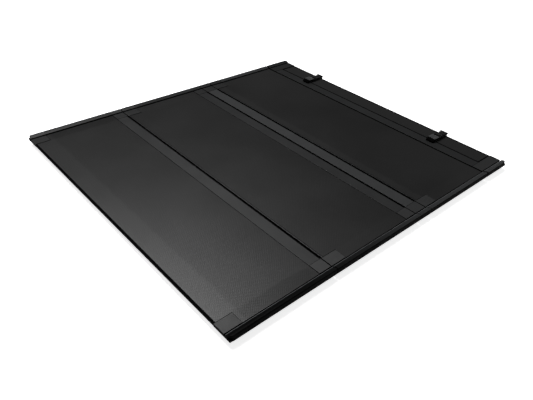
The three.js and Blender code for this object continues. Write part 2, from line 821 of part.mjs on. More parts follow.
// The bolt's nose is bevelled underneath, so that it rides over its striker when the panel drops.
function latchBolt(side) {
  const low = LATCH_Z - BOLT_HALF;
  const high = LATCH_Z + BOLT_HALF;
  const profile = section([
    [side * BOLT_START, low],
    [side * (BOLT_NOSE - 11), low],
    [side * BOLT_NOSE, high - 4],
    [side * BOLT_NOSE, high],
    [side * BOLT_START, high],
  ]);
  return alongY(profile, LATCH_Y - BOLT_HALF, LATCH_Y + BOLT_HALF);
}

function latchSpring(side) {
  const turns = 5;
  const coilRadius = 4.6;
  const wire = 0.8;
  const start = SPRING_START + wire;
  const end = BOLT_START - wire - FIT;
  const coil = new THREE.Curve();
  coil.getPoint = (t) => {
    const angle = t * turns * 2 * Math.PI;
    return new THREE.Vector3(
      side * (start + t * (end - start)),
      LATCH_Y + coilRadius * Math.cos(angle),
      LATCH_Z + coilRadius * Math.sin(angle),
    );
  };
  return tube(coil, wire, turns * 12, 6);
}

const STOP_TAIL = -729; // the block under the board where both cable sheaths end
const STOP_CAB = -707;
const STOP_HALF = 22;
const WIRE_X = 10; // the two wires leave the block this far either side of the middle

// One sheath from each latch housing to the stop block, which the wires leave towards the tailgate.
function releaseCable() {
  const sheath = (side) => {
    const route = [
      [LATCH_IN - FIT, LATCH_Y],
      [600, LATCH_Y],
      [540, -740],
      [420, -714],
      [260, -682],
      [130, -665],
      [64, -663],
      [30, -669],
      [WIRE_X + 2, -687],
      [WIRE_X, STOP_CAB - 2],
    ];
    const points = route.map(([x, y]) => new THREE.Vector3(side * x, y, LATCH_Z));
    return tube(new THREE.CatmullRomCurve3(points), SHEATH_RADIUS, 64, 8);
  };
  const top = BOARD_BOTTOM - FIT;
  const stop = block(-STOP_HALF, STOP_TAIL, LATCH_Z - 6, STOP_HALF, STOP_CAB, top);
  const radius = WIRE_RADIUS + RUNNING_CLEAR;
  const bore = (x) => rodY(radius, STOP_TAIL - 1, STOP_CAB - 3, x, LATCH_Z, 12);
  return cut(joined(stop, sheath(-1), sheath(1)), bore(-WIRE_X), bore(WIRE_X));
}

const HANDLE_BACK = -747;
const HANDLE_LOW = 5;
const HANDLE_HIGH = 14;
const HOOK_HIGH = 19;
const HOOK_HALF = 18;
const HOOK_DEEP = 8;
const GRIP_Y = -790;
const GRIP_HALF = 40;
const GRIP_DEEP = 11;

// The pull handle: a crossbar that the two wires hook into, and a wider grip with a finger hole.
function pullHandle() {
  const front = HANDLE_BACK - HOOK_DEEP;
  const frame = section(
    [
      [-HOOK_HALF, HANDLE_BACK],
      [HOOK_HALF, HANDLE_BACK],
      [HOOK_HALF, front],
      [GRIP_HALF, GRIP_Y + GRIP_DEEP],
      [GRIP_HALF, GRIP_Y],
      [-GRIP_HALF, GRIP_Y],
      [-GRIP_HALF, GRIP_Y + GRIP_DEEP],
      [-HOOK_HALF, front],
    ],
    [
      [-HOOK_HALF + 4, front - 2],
      [HOOK_HALF - 4, front - 2],
      [GRIP_HALF - 12, GRIP_Y + GRIP_DEEP - 1],
      [-GRIP_HALF + 12, GRIP_Y + GRIP_DEEP - 1],
    ],
  );
  const wire = (x) => rodY(WIRE_RADIUS, HANDLE_BACK - 3, STOP_CAB - 5, x, LATCH_Z, 10);
  return joined(
    alongZ(frame, HANDLE_LOW, HANDLE_HIGH),
    block(-HOOK_HALF, front, HANDLE_LOW, HOOK_HALF, HANDLE_BACK, HOOK_HIGH),
    wire(-WIRE_X),
    wire(WIRE_X),
  );
}

function addLatches() {
  for (const [hand, side] of SIDES) {
    add(`latch_housing_${hand}`, latchHousing(side), KNOB_PLASTIC);
    add(`latch_bolt_${hand}`, latchBolt(side), ZINC_STEEL);
    add(`latch_spring_${hand}`, latchSpring(side), ZINC_STEEL);
  }
  add("release_cable", releaseCable(), KNOB_PLASTIC);
  add("pull_handle", pullHandle(), KNOB_PLASTIC);
}

// ---------------------------------------------------------------- assembly

addBoards();
addCrossRails();
addSides();
addSeals();
addHingeStrips();
addStowage();
addClamps();
addLatches();

export default cover;
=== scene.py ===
"""Looks of the hard tri-fold tonneau cover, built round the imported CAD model.

Metres, +Z up. X runs across the truck, Y from the tailgate (-Y) to the cab (+Y).
"""

import json
import math

import bmesh
import bpy
from mathutils import Matrix, Vector

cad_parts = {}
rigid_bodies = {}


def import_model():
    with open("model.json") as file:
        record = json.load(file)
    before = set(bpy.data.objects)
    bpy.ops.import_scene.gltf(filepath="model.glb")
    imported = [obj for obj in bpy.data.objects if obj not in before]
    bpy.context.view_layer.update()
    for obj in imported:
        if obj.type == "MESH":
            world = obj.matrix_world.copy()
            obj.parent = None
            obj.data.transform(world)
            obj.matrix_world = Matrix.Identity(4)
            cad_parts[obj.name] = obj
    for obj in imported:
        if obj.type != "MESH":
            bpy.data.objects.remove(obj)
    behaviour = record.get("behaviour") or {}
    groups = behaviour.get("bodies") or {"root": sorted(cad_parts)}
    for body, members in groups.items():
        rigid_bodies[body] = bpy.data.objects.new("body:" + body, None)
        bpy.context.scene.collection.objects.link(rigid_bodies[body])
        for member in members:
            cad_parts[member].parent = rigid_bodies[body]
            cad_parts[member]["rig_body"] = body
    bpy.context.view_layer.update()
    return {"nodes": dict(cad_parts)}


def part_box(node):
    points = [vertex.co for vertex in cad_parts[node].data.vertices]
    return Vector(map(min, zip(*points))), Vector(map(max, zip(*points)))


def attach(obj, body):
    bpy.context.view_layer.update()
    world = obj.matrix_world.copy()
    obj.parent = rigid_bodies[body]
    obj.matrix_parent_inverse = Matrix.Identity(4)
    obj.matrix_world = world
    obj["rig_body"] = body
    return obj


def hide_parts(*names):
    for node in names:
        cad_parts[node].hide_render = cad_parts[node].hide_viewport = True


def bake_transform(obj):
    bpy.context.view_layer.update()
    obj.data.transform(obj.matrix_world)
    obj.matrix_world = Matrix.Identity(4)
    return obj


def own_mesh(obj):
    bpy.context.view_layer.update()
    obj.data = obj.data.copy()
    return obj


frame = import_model()

MM = 0.001
NODES = frame["nodes"]
HANDS = {"left": -1, "right": 1}  # each side's sign in X

# Heights and edges that the looks depend on.
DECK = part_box("link_rail")[1].z
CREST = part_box("tail_side_rail_right")[1].z
TAIL_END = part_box("tail_rear_rail")[0].y
CAP_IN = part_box("link_cap_right")[0].x
GROOVE_OUT = 759.5 * MM  # the outer wall of the groove beside each side lip
LIP_FOOT = CREST - 7.2 * MM  # below the inner slope of the side lips


# ---------------------------------------------------------------- mesh helpers


def link(name, mesh, *materials):
    """A named piece in the scene, made of that mesh and those materials."""
    piece = bpy.data.objects.new(name, mesh)
    bpy.context.scene.collection.objects.link(piece)
    for material in materials:
        mesh.materials.append(material)
    return piece


def applied(piece):
    """The piece with its modifiers made into its mesh."""
    graph = bpy.context.evaluated_depsgraph_get()
    made = bpy.data.meshes.new_from_object(piece.evaluated_get(graph))
    old = piece.data
    piece.modifiers.clear()
    piece.data = made
    bpy.data.meshes.remove(old)
    return piece


def softened(piece, width, segments=2, angle=28):
    """The piece with its edges rounded by width and its flat faces kept flat."""
    piece.data.shade_smooth()
    if "custom_normal" in piece.data.attributes:
        piece.data.attributes.remove(piece.data.attributes["custom_normal"])
    bevel = piece.modifiers.new("bevel", "BEVEL")
    bevel.width = width
    bevel.segments = segments
    bevel.limit_method = "ANGLE"
    bevel.angle_limit = math.radians(angle)
    weighted = piece.modifiers.new("normals", "WEIGHTED_NORMAL")
    weighted.mode = "FACE_AREA"
    weighted.weight = 90
    return applied(piece)


def copied(node):
    """A CAD node's mesh, without its materials."""
    mesh = NODES[node].data.copy()
    mesh.materials.clear()
    return mesh


def flat_faced(mesh):
    """The mesh with the triangles of each flat face joined into one."""
    shape = bmesh.new()
    shape.from_mesh(mesh)
    bmesh.ops.remove_doubles(shape, verts=shape.verts, dist=1e-6)
    bmesh.ops.dissolve_limit(
        shape, angle_limit=math.radians(0.6), verts=shape.verts, edges=shape.edges
    )
    shape.to_mesh(mesh)
    shape.free()
    return mesh


def turned_outward(mesh):
    """The mesh with all its faces turned outward."""
    shape = bmesh.new()
    shape.from_mesh(mesh)
    bmesh.ops.recalc_face_normals(shape, faces=shape.faces)
    shape.to_mesh(mesh)
    shape.free()
    return mesh


def refined(node, material, width, segments=2, angle=28):
    """A finer piece in a CAD node's place: the same faces, with rounded edges."""
    mesh = flat_faced(copied(node))
    piece = softened(link(node + "_piece", mesh, material), width, segments, angle)
    return stands_for(piece, node)


def stands_for(piece, node):
    """A piece that takes a CAD node's place and moves as it does."""
    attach(piece, NODES[node]["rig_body"])
    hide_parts(node)
    return piece


def rides_with(piece, node):
    """A piece added to what a CAD node is part of."""
    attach(piece, NODES[node]["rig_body"])
    return piece


def mesh_from(rings):
    """A closed skin over rings of points, each ring with the same number of points."""
    mesh = bpy.data.meshes.new("skin")
    count = len(rings[0])
    points = [tuple(point) for ring in rings for point in ring]
    last = len(points) - count
    faces = []
    for near in range(0, last, count):
        far = near + count
        for k in range(count):
            beside = (k + 1) % count
            faces.append((near + k, near + beside, far + beside, far + k))
    faces.append(tuple(range(count - 1, -1, -1)))
    faces.append(tuple(range(last, len(points))))
    mesh.from_pydata(points, [], faces)
    return turned_outward(mesh)


def swept(profile, path, normal):
    """A profile of (side, up) points swept along a path that lies in a plane with that normal."""
    up = Vector(normal)
    rings = []
    for before, point, after in zip([path[0], *path], path, [*path[1:], path[-1]]):
        legs = [leg.normalized() for leg in (point - before, after - point) if leg.length > 1e-9]
        ahead = (legs[0] + legs[-1]).normalized()
        side = up.cross(ahead).normalized()
        miter = 1 / max(0.5, ahead.dot(legs[0]))
        rings.append([point + side * (s * miter) + up * u for s, u in profile])
    return mesh_from(rings)


def rounded(points, radius, steps):
    """A path through the points with its inner corners rounded."""
    path = [points[0]]
    for before, corner, after in zip(points, points[1:], points[2:]):
        a, b = before - corner, after - corner
        reach = min(radius, a.length * 0.49, b.length * 0.49)
        start, end = corner + a.normalized() * reach, corner + b.normalized() * reach
        for i in range(steps + 1):
            t = i / steps
            path.append((1 - t) ** 2 * start + 2 * t * (1 - t) * corner + t * t * end)
    path.append(points[-1])
    return path


def ring_of(centre, axis_a, axis_b, radius, sides):
    """Points round a circle in the plane of two axes."""
    return [
        centre
        + axis_a * (radius * math.cos(2 * math.pi * i / sides))
        + axis_b * (radius * math.sin(2 * math.pi * i / sides))
        for i in range(sides)
    ]


def turned(profile, base, axis, sides):
    """A turned shape: profile points are (radius, height along the axis from base)."""
    axis = Vector(axis).normalized()
    across = axis.orthogonal().normalized()
    other = axis.cross(across)
    rings = [ring_of(base + axis * h, across, other, max(r, 1e-6), sides) for r, h in profile]
    return mesh_from(rings)


def tube(points, radius, sides):
    """A round tube along points in space, with its section carried on without twist."""
    rings = []
    across = None
    for i, point in enumerate(points):
        ahead = (points[min(i + 1, len(points) - 1)] - points[max(i - 1, 0)]).normalized()
        if across is None:
            across = ahead.orthogonal().normalized()
        across = (across - ahead * across.dot(ahead)).normalized()
        rings.append(ring_of(point, across, ahead.cross(across), radius, sides))
    return mesh_from(rings)


def box_mesh(low, high):
    """A block between two corners."""
    mesh = bpy.data.meshes.new("box")
    shape = bmesh.new()
    size = Vector(high) - Vector(low)
    middle = (Vector(high) + Vector(low)) / 2
    place = Matrix.Translation(middle) @ Matrix.Diagonal((*size, 1))
    bmesh.ops.create_cube(shape, size=1, matrix=place)
    shape.to_mesh(mesh)
    shape.free()
    return mesh


def gathered(name, meshes, material):
    """Several meshes made into one piece."""
    shape = bmesh.new()
    for mesh in meshes:
        shape.from_mesh(mesh)
        bpy.data.meshes.remove(mesh)
    made = bpy.data.meshes.new(name)
    shape.to_mesh(made)
    shape.free()
    return link(name, made, material)


# ---------------------------------------------------------------- materials


class Paint:
    """A Principled material, with short ways to add procedural detail in the part's own frame."""

    def __init__(self, name, color, roughness, metallic=0.0, specular=0.5):
        self.material = bpy.data.materials.new(name)
        self.material.use_nodes = True
        self.tree = self.material.node_tree
        self.shader = self.tree.nodes["Principled BSDF"]
        self.shader.inputs["Base Color"].default_value = (*color, 1)
        self.shader.inputs["Roughness"].default_value = roughness
        self.shader.inputs["Metallic"].default_value = metallic
        self.shader.inputs["Specular IOR Level"].default_value = specular
        coords = self.node("ShaderNodeTexCoord")
        self.place = coords.outputs["Object"]
        self.normal = None

    def node(self, kind, **settings):
        made = self.tree.nodes.new(kind)
        for key, value in settings.items():
            setattr(made, key, value)
        return made

    def join(self, output, target):
        self.tree.links.new(output, target)

    def math(self, operation, a, b=None):
        """An operation on numbers or on other nodes' values."""
        made = self.node("ShaderNodeMath", operation=operation)
        for socket, value in zip(made.inputs, (a, b)):
            if value is None:
                continue
            if isinstance(value, (int, float)):
                socket.default_value = value
            else:
                self.join(value, socket)
        return made.outputs[0]

    def mixed(self, first, share, second):
        """Two values added, with that share of the first and the rest of the second."""
        part = self.math("MULTIPLY", first, share)
        return self.math("ADD", part, self.math("MULTIPLY", second, 1 - share))

    def from_middle(self):
        """How far a point lies from the middle of the cover, to either side."""
        return self.math("ABSOLUTE", self.axis("X"))

    def axis(self, letter):
        """How far along an axis a point lies, in metres."""
        split = self.node("ShaderNodeSeparateXYZ")
        self.join(self.place, split.inputs[0])
        return split.outputs[letter]

    def ramp(self, value, low, high, out_low=0.0, out_high=1.0):
        """A smooth step from out_low to out_high as value goes from low to high."""
        made = self.node("ShaderNodeMapRange", interpolation_type="SMOOTHSTEP")
        self.join(value, made.inputs["Value"])
        for key, number in zip(
            ("From Min", "From Max", "To Min", "To Max"), (low, high, out_low, out_high)
        ):
            made.inputs[key].default_value = number
        return made.outputs["Result"]

    def noise(self, scale, detail, stretch=(1, 1, 1)):
        """Soft clouds from 0 to 1, finer as scale grows."""
        place = self.place
        if stretch != (1, 1, 1):
            mapping = self.node("ShaderNodeMapping")
            mapping.inputs["Scale"].default_value = stretch
            self.join(place, mapping.inputs["Vector"])
            place = mapping.outputs[0]
        made = self.node("ShaderNodeTexNoise")
        made.inputs["Scale"].default_value = scale
        made.inputs["Detail"].default_value = detail
        self.join(place, made.inputs["Vector"])
        return made.outputs["Fac"]

    def cells(self, scale):
        """Rounded grains, finer as scale grows."""
        made = self.node("ShaderNodeTexVoronoi", feature="SMOOTH_F1")
        made.inputs["Scale"].default_value = scale
        made.inputs["Smoothness"].default_value = 0.6
        self.join(self.place, made.inputs["Vector"])
        return made.outputs["Distance"]

    def ripple(self, letter, pitch):
        """A wave from -1 to 1 along an axis."""
        return self.math("SINE", self.math("MULTIPLY", self.axis(letter), 2 * math.pi / pitch))

    def bump(self, height, distance):
        """Relief that follows a value, with distance as its scale, over any relief before it."""
        made = self.node("ShaderNodeBump")
        made.inputs["Distance"].default_value = distance
        self.join(height, made.inputs["Height"])
        if self.normal is not None:
            self.join(self.normal, made.inputs["Normal"])
        self.normal = made.outputs["Normal"]
        self.join(self.normal, self.shader.inputs["Normal"])

    def rough(self, value, low, high):
        """Roughness that follows a value between 0 and 1."""
        self.join(self.ramp(value, 0.0, 1.0, low, high), self.shader.inputs["Roughness"])

    def gloss(self, value, low, high):
        """A strength of reflection that follows a value between 0 and 1."""
        level = self.ramp(value, 0.0, 1.0, low, high)
        self.join(level, self.shader.inputs["Specular IOR Level"])

    def shade(self, value, dark, light):
        """A base colour between two tones, by a value between 0 and 1."""
        made = self.node("ShaderNodeMix", data_type="RGBA")
        made.inputs["A"].default_value = (*dark, 1)
        made.inputs["B"].default_value = (*light, 1)
        self.join(value, made.inputs["Factor"])
        self.join(made.outputs["Result"], self.shader.inputs["Base Color"])


def grey(level, tint=0.0):
    """A near neutral tone; a positive tint leans to blue."""
    return (level * (1 - tint), level, level * (1 + tint))


def frame_bands(paint):
    """Bands that the frame below makes in the boards' tone: pale at the tail end and by the
    fold nearest the cab, dark along the tail panel's sides, faintly pale along the others."""
    wobble = paint.math("MULTIPLY", paint.noise(22, 2.0), 22 * MM)
    across = paint.math("ADD", paint.from_middle(), wobble)
    along = paint.math("ADD", paint.axis("Y"), wobble)
    tail = paint.ramp(along, TAIL_END + 98 * MM, TAIL_END + 114 * MM, 1.0, 0.0)
    cab_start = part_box("cab_board")[0].y
    on_cab = paint.math("GREATER_THAN", paint.axis("Y"), cab_start - 1 * MM)
    cab = paint.ramp(along, cab_start + 44 * MM, cab_start + 58 * MM, 1.0, 0.0)
    cab = paint.math("MULTIPLY", cab, on_cab)
    ends = paint.math("MULTIPLY", paint.math("MAXIMUM", tail, cab), 0.4)
    side = paint.ramp(across, CAP_IN + 2 * MM, CAP_IN + 14 * MM)
    depth = paint.ramp(paint.axis("Y"), TAIL_END + 400 * MM, TAIL_END + 460 * MM, -0.45, 0.12)
    return paint.math("ADD", ends, paint.math("MULTIPLY", side, depth))


def header_painted_highlight(paint):
    """A painted highlight: a paler tone towards the header, except in the middle of the cover."""
    by_header = paint.ramp(paint.axis("Y"), 300 * MM, 620 * MM, 0.0, 0.7)
    outer = paint.ramp(paint.from_middle(), 100 * MM, 700 * MM)
    return paint.math("MULTIPLY", by_header, outer)


def board_skin():
    """The moulded skin of the boards: a fine embossed weave over broad, soft changes of tone,
    with a painted highlight towards the header.
    """
    paint = Paint("board_skin", grey(0.017), 0.50)
    pitch = 9.6 * MM
    weave = paint.math("MULTIPLY", paint.ripple("X", pitch), paint.ripple("Y", pitch))
    paint.bump(weave, 0.10 * MM)
    paint.bump(paint.cells(700), 0.10 * MM)
    cloud = paint.noise(4.0, 3.0)
    # painted highlight: paler tone and stronger gloss towards the header, away from the middle
    painted_highlight = paint.math("ADD", header_painted_highlight(paint), 0.5)
    band = paint.math("ADD", frame_bands(paint), painted_highlight)
    speckle = paint.math("ADD", paint.math("MULTIPLY", weave, 0.5), 0.5)
    tone = paint.mixed(paint.mixed(band, 0.7, cloud), 0.7, speckle)
    paint.shade(tone, grey(0.0035), grey(0.0120))
    paint.rough(cloud, 0.40, 0.46)
    paint.gloss(tone, 0.30, 0.53)
    return paint.material


def board_under():
    """The glass-fibre underside of the boards: a coarse woven print, a little glossy."""
    paint = Paint("board_under", grey(0.020, 0.02), 0.42)
    pitch = 9 * MM
    weave = paint.math("MULTIPLY", paint.ripple("X", pitch), paint.ripple("Y", pitch))
    paint.bump(weave, 0.15 * MM)
    cloud = paint.noise(9, 4.0)
    paint.shade(paint.ramp(cloud, 0.3, 0.7), grey(0.014, 0.02), grey(0.026, 0.02))
    paint.rough(cloud, 0.34, 0.52)
    return paint.material


def powder_coat(name, level):
    """Satin powder coat on the extruded rails: a fine orange peel."""
    paint = Paint(name, grey(level, 0.03), 0.42)
    paint.bump(paint.cells(900), 0.06 * MM)
    paint.bump(paint.noise(320, 2.0), 0.05 * MM)
    paint.rough(paint.noise(14, 3.0), 0.40, 0.50)
    return paint.material


def lip_coat_painted_light():
    """The coat of the side lips, with painted light in its tone and gloss: painted shade at the
    tail end of the right side, a painted reflection that grows towards the cab and lifts the left
    side, and a painted highlight line along the right side's inner edge."""
    paint = Paint("powder_coat_lip_painted_light", grey(0.008, 0.03), 0.42, specular=0.14)
    paint.bump(paint.cells(900), 0.06 * MM)
    # painted reflection: the lips' tone and gloss rise towards the cab
    along = paint.ramp(paint.axis("Y"), -600 * MM, 550 * MM)
    # painted reflection: the left side's lips lighter and glossier
    on_left = paint.ramp(paint.axis("X"), -100 * MM, 100 * MM, 1.0, 0.0)
    # painted highlight: a pale line along the right side's inner edge
    line = paint.ramp(paint.axis("X"), GROOVE_OUT + 3 * MM, GROOVE_OUT + 5 * MM, 1.0, 0.0)
    line = paint.math("SUBTRACT", line, on_left)
    coat = paint.math("MAXIMUM", along, paint.math("MULTIPLY", on_left, 0.3))
    tone = paint.math("MAXIMUM", paint.math("MULTIPLY", coat, 0.385), line)
    paint.shade(tone, grey(0.002, 0.03), grey(0.078, 0.03))
    level = paint.math("MAXIMUM", along, on_left)
    paint.gloss(paint.math("MAXIMUM", level, line), 0.03, 0.15)
    paint.rough(paint.noise(14, 3.0), 0.40, 0.50)
    return paint.material


def cap_plastic(name, level, specular=0.5):
    """Moulded nylon with a spark-eroded texture."""
    paint = Paint(name, grey(level, 0.02), 0.47, specular=specular)
    paint.bump(paint.cells(1100), 0.10 * MM)
    paint.bump(paint.noise(60, 2.0), 0.08 * MM)
    paint.rough(paint.noise(25, 3.0), 0.44, 0.54)
    return paint.material


def side_black_and_shade():
    """Matte black for the frame's outer faces and the tail rear rail, near pure black with almost
    no reflection;
    it also serves as painted shade on hidden faces, sloped edge faces and the buckles' noses.
    """
    paint = Paint("side_black_and_shade", grey(0.0010), 0.7, specular=0.012)
    paint.bump(paint.noise(500, 2.0), 0.06 * MM)
    paint.rough(paint.noise(18, 3.0), 0.62, 0.8)
    return paint.material


def pad_skin():
    """The coarse matte grain of the header's inset surface, with near-black painted shade along
    its edge on the tail side and at its ends.
    """
    paint = Paint("pad_skin", grey(0.010), 0.7, specular=0.25)
    low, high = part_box("header_pad")
    from_side = paint.math("SUBTRACT", paint.axis("Y"), low.y)
    from_end = paint.math("SUBTRACT", high.x, paint.from_middle())
    # painted shade: near black and barely glossy within 6 to 8 mm of the pad's edge
    clear_of_edge_shade = paint.ramp(paint.math("MINIMUM", from_side, from_end), 6 * MM, 8 * MM)
    paint.shade(clear_of_edge_shade, grey(0.0008), grey(0.010))
    paint.gloss(clear_of_edge_shade, 0.02, 0.25)
    paint.bump(paint.cells(420), 0.25 * MM)
    paint.bump(paint.noise(90, 3.0), 0.1 * MM)
    paint.rough(paint.noise(12, 3.0), 0.6, 0.78)
    return paint.material


def seal_rubber():
    """Dull black rubber, slightly wavy as a soft extrusion is."""
    paint = Paint("seal_rubber", grey(0.004), 0.72, specular=0.12)
    paint.bump(paint.noise(700, 2.0), 0.05 * MM)
    paint.bump(paint.noise(30, 2.0, (1, 1, 6)), 0.12 * MM)
    paint.rough(paint.noise(20, 3.0), 0.62, 0.82)
    return paint.material


def buckle_plastic():
    """Acetal: smooth with a slight sheen, and a fine texture on its flat faces."""
    paint = Paint("buckle_plastic", grey(0.050, 0.02), 0.3)
    paint.bump(paint.cells(1500), 0.03 * MM)
    paint.rough(paint.noise(120, 3.0), 0.24, 0.40)
    return paint.material


def webbing():
    """Woven polypropylene: ribs along the strap, with the weft showing between them."""
    paint = Paint("webbing", grey(0.008), 0.85, specular=0.2)
    paint.shader.inputs["Sheen Weight"].default_value = 0.08
    ribs = paint.ripple("X", 2.4 * MM)
    weft = paint.math("MULTIPLY", paint.ripple("Y", 1.7 * MM), paint.ripple("Z", 60 * MM))
    lift = paint.math("MULTIPLY", paint.ripple("Z", 1.7 * MM), 0.5)
    weave = paint.math("ADD", ribs, paint.math("ADD", paint.math("MULTIPLY", weft, 0.6), lift))
    paint.bump(weave, 0.16 * MM)
    paint.shade(paint.ramp(weave, -1.2, 1.4), grey(0.0015), grey(0.007))
    return paint.material


def zinc_steel():
    """Bright zinc plate: pale, a little cloudy, with fine rolling marks."""
    paint = Paint("zinc_steel", (0.56, 0.57, 0.58), 0.32, metallic=1.0)
    cloud = paint.noise(45, 4.0)
    paint.shade(paint.ramp(cloud, 0.3, 0.7), (0.46, 0.47, 0.48), (0.62, 0.63, 0.63))
    paint.bump(paint.noise(260, 2.0, (1, 0.12, 1)), 0.05 * MM)
    paint.rough(cloud, 0.24, 0.44)
    return paint.material


def knob_plastic():
    """Glass-filled nylon, finely grained."""
    paint = Paint("knob_plastic", grey(0.014), 0.5, specular=0.4)
    paint.bump(paint.cells(1000), 0.07 * MM)
    paint.rough(paint.noise(60, 3.0), 0.42, 0.6)
    return paint.material


def dark_acetal_and_shade():
    """Near-black acetal for the buckles' forks and slides, also used as painted shade on the
    sockets' sides.
    """
    paint = Paint("dark_acetal_and_shade", grey(0.002), 0.26, specular=0.16)
    paint.bump(paint.cells(1500), 0.03 * MM)
    paint.rough(paint.noise(120, 3.0), 0.26, 0.42)
    return paint.material


def thread():
    """Bonded nylon thread, a little lighter than the webbing, with its twist."""
    paint = Paint("thread", grey(0.030), 0.6, specular=0.4)
    paint.bump(paint.noise(3000, 2.0), 0.08 * MM)
    paint.rough(paint.noise(400, 2.0), 0.5, 0.7)
    return paint.material


BOARD = board_skin()
BOARD_UNDER = board_under()
COAT = powder_coat("powder_coat", 0.012)
LINK_COAT = powder_coat("powder_coat_link", 0.026)
CAP = cap_plastic("cap_plastic", 0.016)
# Darker, less glossy copies of the cap plastic, as painted shade: the left caps' tops and lips,
# and the right tail corner cap.
CAP_TOP_LEFT_SHADED = cap_plastic("cap_plastic_left_shaded", 0.010, 0.40)
CAP_LIP_LEFT_SHADED = cap_plastic("cap_plastic_lip_left_shaded", 0.013, 0.20)
CORNER_CAP_SHADED = cap_plastic("cap_plastic_corner_shaded", 0.007, 0.38)
LIP_COAT_PAINTED_LIGHT = lip_coat_painted_light()
SIDE_BLACK_AND_SHADE = side_black_and_shade()
PAD = pad_skin()
RUBBER = seal_rubber()
BUCKLE = buckle_plastic()
STRAP = webbing()
ZINC = zinc_steel()
KNOB = knob_plastic()
BUCKLE_DARK_AND_SHADE = dark_acetal_and_shade()
THREAD = thread()

FLAT = 0.93  # a face that turns up at least this much is a top face


def blacken_sides(piece, under, lip_painted_light=LIP_COAT_PAINTED_LIGHT):
    """Gives the side lips their painted-light coat and the underside its own finish. The outer
    sides get their own black with painted shade; faces below the deck, in gaps and grooves, and
    sloped edge faces get the same black as painted shade.
    """
    mesh = piece.data
    for material in (SIDE_BLACK_AND_SHADE, under, lip_painted_light):
        mesh.materials.append(material)
    black, below, lip = 1, 2, 3
    for face in mesh.polygons:
        outward = face.normal.x * math.copysign(1, face.center.x)
        on_lip = abs(face.center.x) > GROOVE_OUT and face.center.z > LIP_FOOT
        if face.normal.z < -0.5 and outward < 0.5:
            face.material_index = below
        # black: the outer sides' own black with painted shade, and painted shade on faces below
        # the deck
        elif outward > 0.5 or face.center.z < DECK - 2 * MM:
            face.material_index = black
        elif on_lip:
            face.material_index = lip
        # painted shade: sloped edge faces made black
        elif abs(face.normal.z) < FLAT:
            face.material_index = black


# ---------------------------------------------------------------- boards and frame

RAILS = (
    "tail_rear_rail",
    "tail_hinge_rail",
    "mid_tail_rail",
    "mid_cab_rail",
    "link_rail",
    "cab_hinge_rail",
    "header_rail",
)
PANELS = ("tail", "mid", "cab")
CAPS = ("tail_corner", "tail_hinge", "mid_tail", "mid_cab", "link", "cab_hinge", "header")


def make_boards():
    for panel in PANELS:
        blacken_sides(refined(f"{panel}_board", BOARD, 0.5 * MM), BOARD_UNDER)
    blacken_sides(refined("header_pad", PAD, 2.2 * MM, segments=3), PAD)


def make_frame():
    coats = {"link_rail": LINK_COAT, "tail_rear_rail": SIDE_BLACK_AND_SHADE}
    for rail in RAILS:
        blacken_sides(refined(rail, coats.get(rail, COAT), 0.7 * MM), LINK_COAT)
    for hand in HANDS:
        for panel in PANELS:
            rail = refined(f"{panel}_side_rail_{hand}", LIP_COAT_PAINTED_LIGHT, 0.8 * MM, angle=8)
            blacken_sides(rail, LINK_COAT)
        for cap in CAPS:
            # painted shade: the right tail corner cap and the left caps take the darker copies
            plastic = CORNER_CAP_SHADED if cap == "tail_corner" else CAP
            lip_painted_light = LIP_COAT_PAINTED_LIGHT
            if hand == "left":
                plastic, lip_painted_light = CAP_TOP_LEFT_SHADED, CAP_LIP_LEFT_SHADED
            piece = refined(f"{cap}_cap_{hand}", plastic, 0.8 * MM, angle=8)
            blacken_sides(piece, CAP, lip_painted_light)


# ---------------------------------------------------------------- seals and hinges


def bulb_profile(width, height):
    """A flat carrier on top of a round bulb, as (side, up) points from the floor."""
    r = width / 2
    base = height - 3 * MM
    arc = [
        (r * math.cos(a), r + r * math.sin(a))
        for a in (math.radians(d) for d in range(-180, 1, 15))
    ]
    right = [(0.94 * r, 1.35 * r), (0.62 * r, base - 0.8 * MM), (r, base), (r, height)]
    left = [(-side, up) for side, up in reversed(right)]
    return [*arc, *right, *left]


def make_seal(node, width, corners):
    """A bulb seal along a path with rounded corners, standing on the floor."""
    profile = bulb_profile(width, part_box(node)[1].z)
    path = rounded([Vector((x, y, 0)) for x, y in corners], 20 * MM, 8)
    seal = link(node + "_bulb", swept(profile, path, (0, 0, 1)), RUBBER)
    seal.data.shade_smooth()
    stands_for(seal, node)


def make_seals():
    low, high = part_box("mid_seal_right")
    width = high.x - low.x
    for hand in HANDS:
        low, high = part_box(f"mid_seal_{hand}")
        x = (low.x + high.x) / 2
        make_seal(f"mid_seal_{hand}", width, [(x, low.y), (x, high.y)])
    for panel in ("tail", "cab"):
        low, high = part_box(f"{panel}_seal")
        x = high.x - width / 2
        start, across = high.y, low.y + width / 2
        if panel == "cab":
            start, across = low.y, high.y - width / 2
        corners = [(x, start), (x, across), (-x, across), (-x, start)]
        make_seal(f"{panel}_seal", width, corners)


def pleated(low, high):
    """The path of a pleated hinge web across a gap in Y, with one pleat to each side."""
    middle = (low + high) / 2
    half = (high - low) / 2
    top = DECK - 8 * MM
    bottom = DECK - 19 * MM
    ups = [(-1.0, top), (-0.72, top), (-0.55, bottom), (-0.25, bottom), (-0.12, top)]
    ups += [(-a, z) for a, z in reversed(ups)]
    return [Vector((0, middle + a * half, z)) for a, z in ups]


def make_hinges():
    for strip, near, far in (
        ("hinge_strip_tail", "tail_panel", "mid_panel"),
        ("hinge_strip_mid", "mid_panel", "link"),
        ("hinge_strip_cab", "link", "cab_section"),
    ):
        low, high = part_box(strip)
        thin = 0.45 * MM  # half of the web's thickness
        end = high.x
        path = rounded(pleated(low.y, high.y), 1.2 * MM, 4)
        profile = [(-thin, -end), (thin, -end), (thin, end), (-thin, end)]
        web = link(strip + "_web", swept(profile, path, (1, 0, 0)), RUBBER)
        web.data.shade_smooth()
        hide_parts(strip)
        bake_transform(web)


# ---------------------------------------------------------------- stowage straps and buckles

